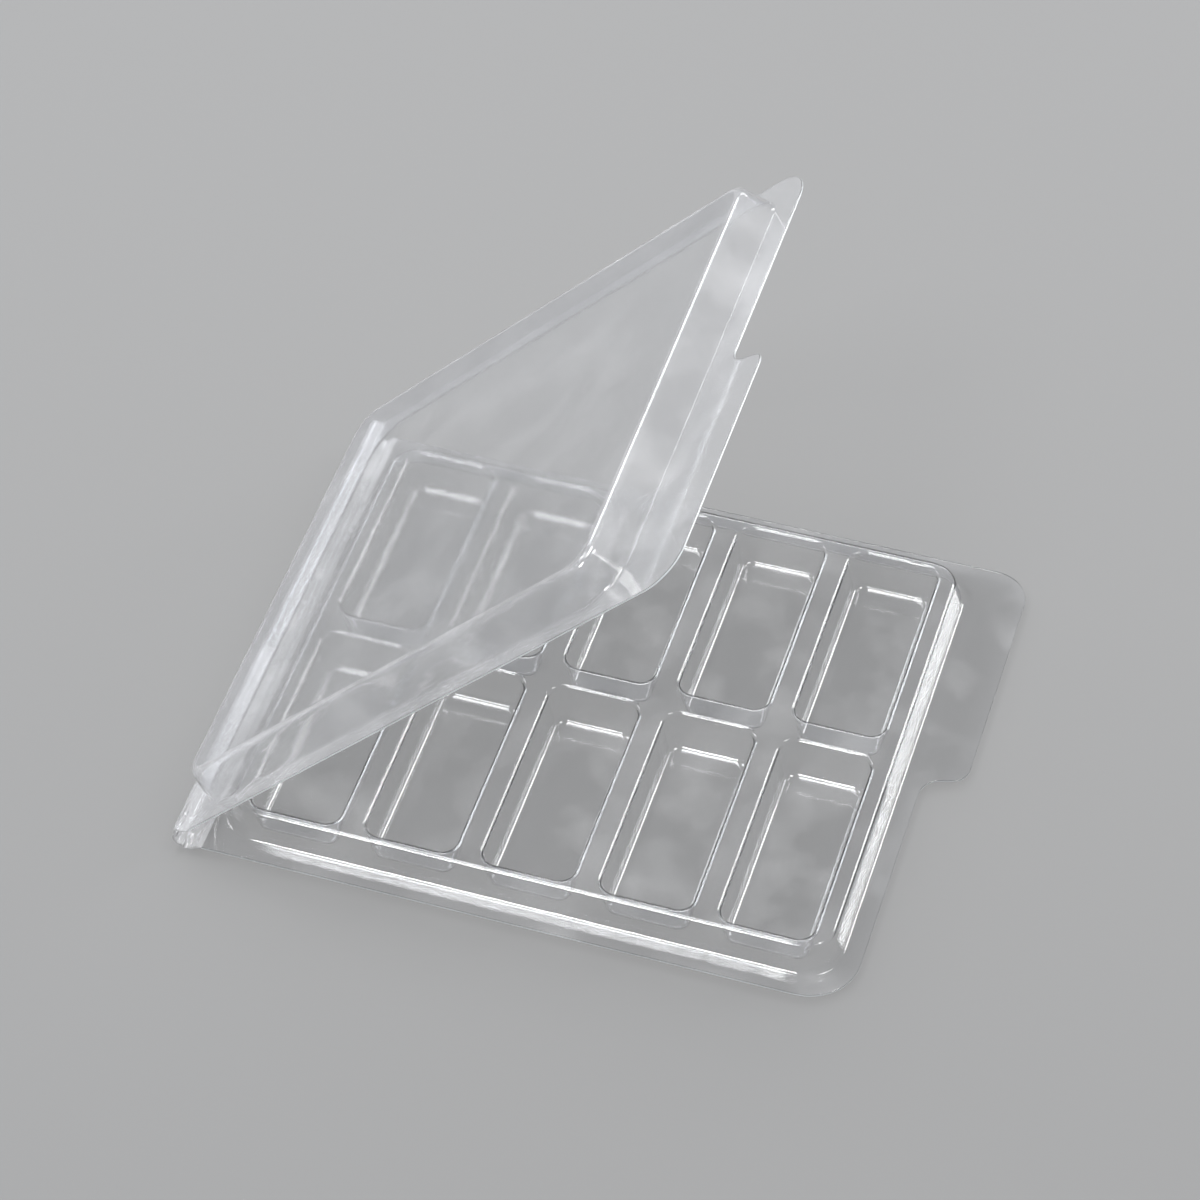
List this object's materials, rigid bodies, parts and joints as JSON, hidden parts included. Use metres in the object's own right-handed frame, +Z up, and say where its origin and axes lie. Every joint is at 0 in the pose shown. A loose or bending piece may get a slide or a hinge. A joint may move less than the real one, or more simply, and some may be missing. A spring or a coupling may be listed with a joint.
{
  "type": "hinged clear plastic carton",
  "caption": "Clear hinged carton with rows of long flat-bottomed pockets in a raised tray, a shallow domed lid, a folded hinge bead and offset finger tabs.",
  "frame": {"origin": "on the surface that the tray stands on, under the middle of the open carton's box", "axes": "+Z up, +X from the hinge to the finger tabs, +Y along the hinge towards the back"},
  "size_m": [0.1578, 0.1254, 0.1229],
  "materials": {
    "clear_tray_sheet": "clear colourless formed sheet, glossy",
    "clear_lid_sheet": "clear colourless formed sheet, glossy with a faint haze",
    "clear_hinge_sheet": "clear colourless sheet, whitened by folding"
  },
  "bodies": {
    "tray": {"tray_flange": "clear_tray_sheet", "tray_tab": "clear_tray_sheet", "tray_deck_wall": "clear_tray_sheet", "tray_deck": "clear_tray_sheet", "tray_hinge_bead": "clear_hinge_sheet", "pocket_front_1": "clear_tray_sheet", "pocket_front_2": "clear_tray_sheet", "pocket_front_3": "clear_tray_sheet", "pocket_front_4": "clear_tray_sheet", "pocket_front_5": "clear_tray_sheet", "pocket_back_1": "clear_tray_sheet", "pocket_back_2": "clear_tray_sheet", "pocket_back_3": "clear_tray_sheet", "pocket_back_4": "clear_tray_sheet", "pocket_back_5": "clear_tray_sheet"},
    "lid": {"lid_flange": "clear_lid_sheet", "lid_tab": "clear_lid_sheet", "lid_wall": "clear_lid_sheet", "lid_panel": "clear_lid_sheet", "lid_hinge_bead": "clear_hinge_sheet"}
  },
  "joints": [
    {"name": "lid_hinge", "type": "hinge", "parent": "tray", "child": "lid", "pos_m": [-0.07813, 0, 0.0032], "axis": [0, -1, 0], "range_deg": [-47, 103]}
  ]
}
